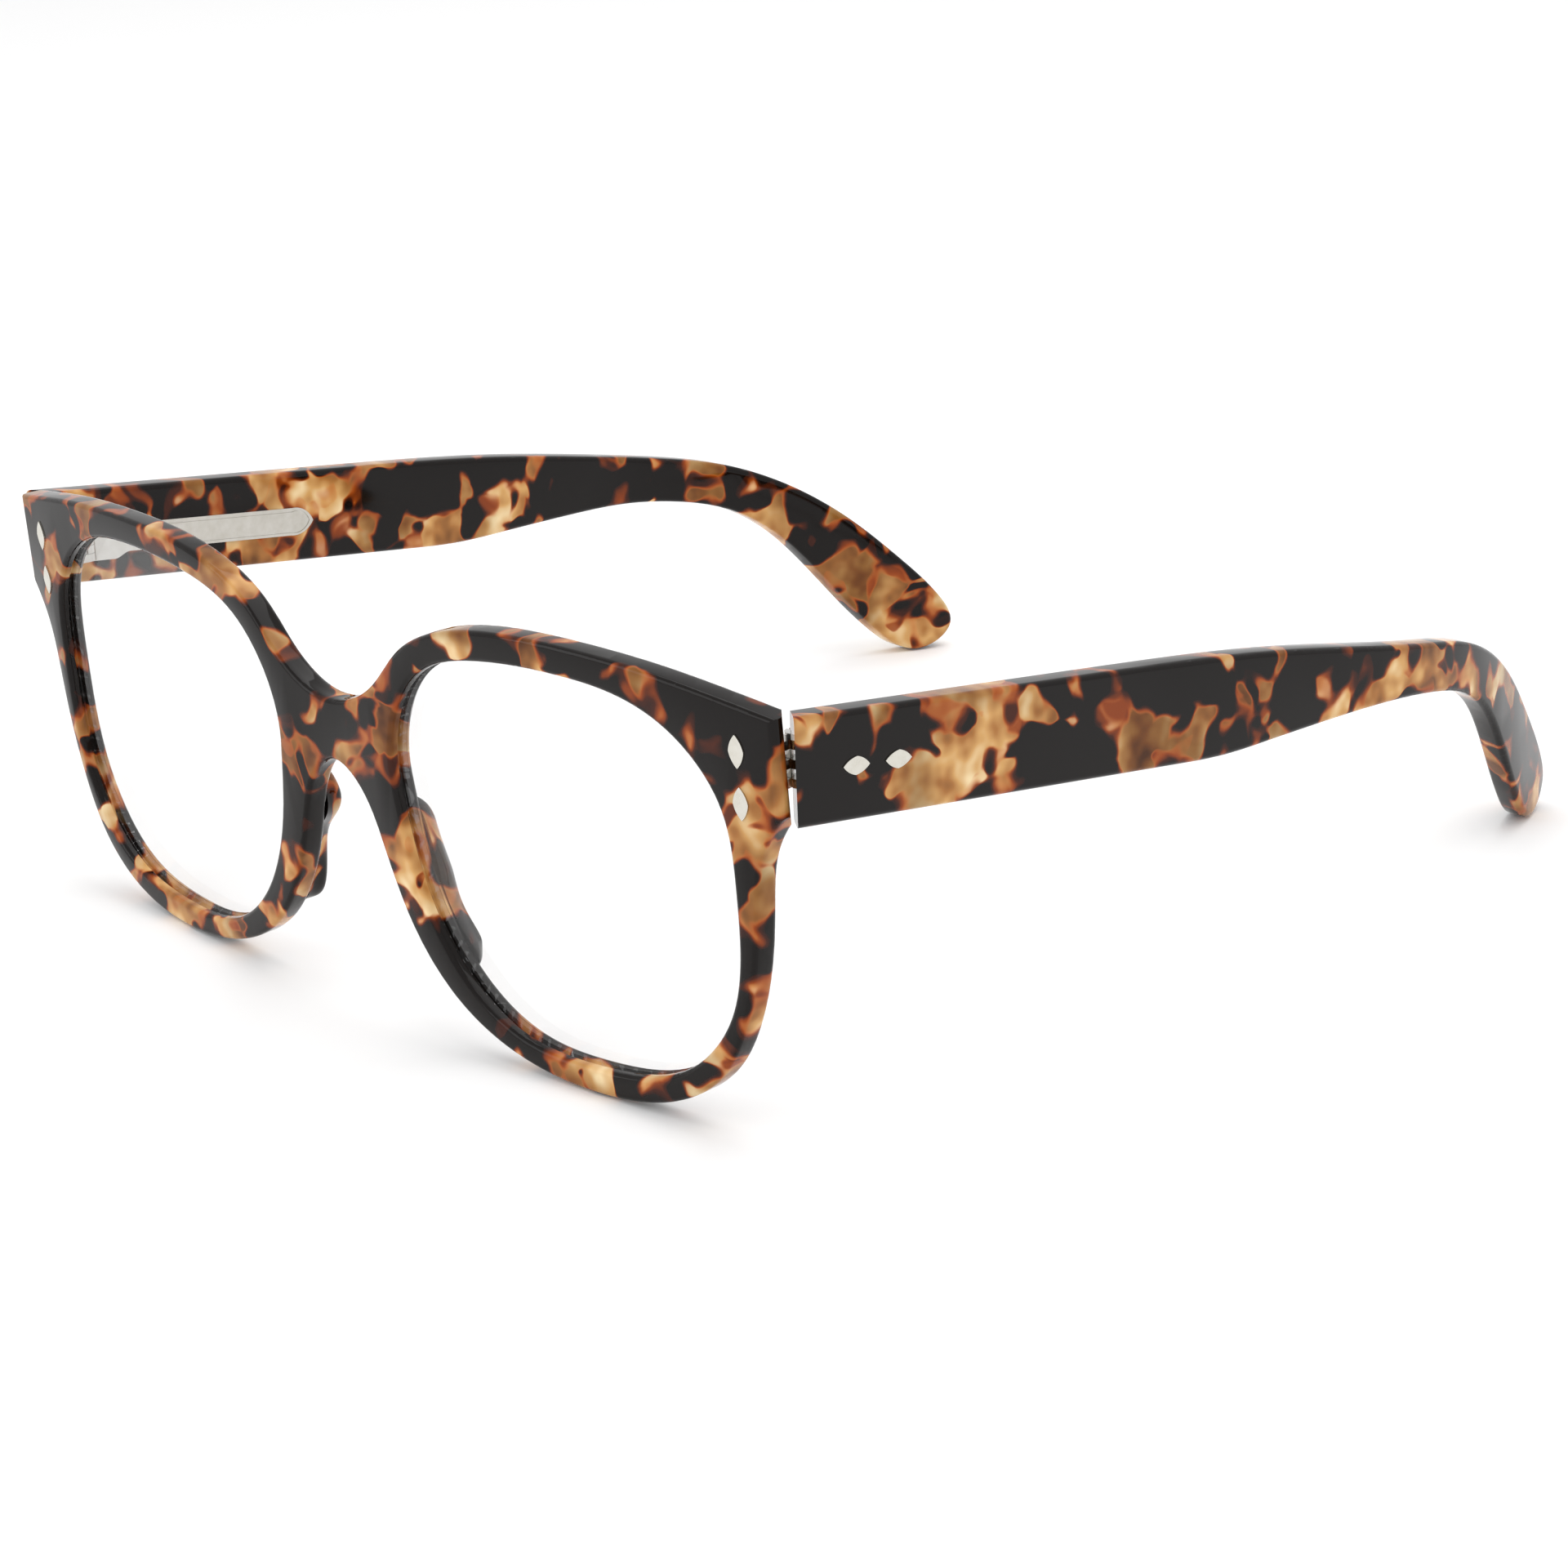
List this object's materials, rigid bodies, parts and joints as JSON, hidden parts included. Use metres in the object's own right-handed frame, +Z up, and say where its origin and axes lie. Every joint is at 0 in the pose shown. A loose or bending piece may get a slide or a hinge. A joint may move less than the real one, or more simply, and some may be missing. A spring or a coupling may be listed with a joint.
{
  "type": "eyeglasses",
  "caption": "Acetate eyeglasses with rounded square rims, saddle bridge, clear demo lenses and rivet-trimmed temples that fold on barrel hinges.",
  "frame": {"origin": "middle of the glasses' footprint on the surface they rest on, bottoms of the rims and temple tips on z = 0", "axes": "+Z up, the wearer looks along -Y, +X towards the wearer's left"},
  "size_m": [0.142, 0.1476, 0.0518],
  "materials": {
    "acetate": "polished",
    "lens": "polished",
    "hinge_metal": "polished",
    "screw_metal": "polished",
    "rivet_metal": "satin",
    "plaque_metal": "satin",
    "core_metal": "satin"
  },
  "bodies": {
    "front": {"front_frame": "acetate", "nose_pad_left": "acetate", "nose_pad_right": "acetate", "lens_left": "lens", "lens_right": "lens", "front_hinge_left": "hinge_metal", "front_hinge_right": "hinge_metal", "hinge_screw_left": "screw_metal", "hinge_screw_right": "screw_metal", "front_rivet_left_upper": "rivet_metal", "front_rivet_left_lower": "rivet_metal", "front_rivet_right_upper": "rivet_metal", "front_rivet_right_lower": "rivet_metal"},
    "temple_arm_left": {"temple_left": "acetate", "temple_hinge_left": "hinge_metal", "core_wire_left": "core_metal", "plaque_left": "plaque_metal", "temple_rivet_left_front": "rivet_metal", "temple_rivet_left_rear": "rivet_metal"},
    "temple_arm_right": {"temple_right": "acetate", "temple_hinge_right": "hinge_metal", "core_wire_right": "core_metal", "plaque_right": "plaque_metal", "temple_rivet_right_front": "rivet_metal", "temple_rivet_right_rear": "rivet_metal"}
  },
  "joints": [
    {"name": "fold_left", "type": "hinge", "parent": "front", "child": "temple_arm_left", "pos_m": [0.0658, -0.06198, 0.04181], "axis": [0, 0, 1], "range_deg": [0, 85]},
    {"name": "fold_right", "type": "hinge", "parent": "front", "child": "temple_arm_right", "pos_m": [-0.0658, -0.06198, 0.04181], "axis": [0, 0, 1], "range_deg": [-70, 0]}
  ]
}
